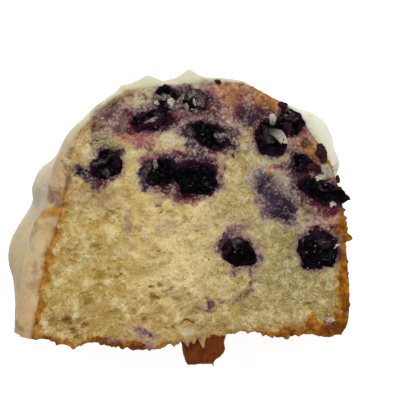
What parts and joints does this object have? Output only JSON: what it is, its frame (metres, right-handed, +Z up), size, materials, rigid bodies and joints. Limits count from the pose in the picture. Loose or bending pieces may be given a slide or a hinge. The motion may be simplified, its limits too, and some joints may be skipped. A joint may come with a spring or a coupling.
{
  "type": "blueberry bundt cake slice",
  "caption": "Wedge cut from a fluted ring cake: domed top, flat foot, poured white icing over the crust and berries bared by the knife, lying on one cut face.",
  "frame": {"origin": "on the lower cut face, which the slice lies on, below the middle of the slice and 36 mm up from the cake's foot", "axes": "+Z up out of the lower cut face, +Y from the cake's foot to its domed top, +X from the outer wall to the wall of the tube"},
  "size_m": [0.0975, 0.0831, 0.0507],
  "materials": {
    "crumb": "open yellow crumb with a thin golden-brown crust",
    "icing": "set poured icing, smooth with a soft gloss",
    "blueberry": "baked berry, wet and almost black, purple at the rim"
  },
  "bodies": {
    "root": {"cake": "crumb", "icing": "icing", "berry_crown_outer": "blueberry", "berry_crown_inner": "blueberry", "berry_crown_under": "blueberry", "berry_ridge": "blueberry", "berry_large_inner": "blueberry", "berry_large_outer": "blueberry", "berry_outer_wall": "blueberry", "berry_shoulder": "blueberry", "berry_shoulder_rim": "blueberry", "berry_tube_speck": "blueberry", "berry_tube_wall": "blueberry", "berry_low_tube": "blueberry", "berry_low_middle": "blueberry"}
  },
  "joints": []
}
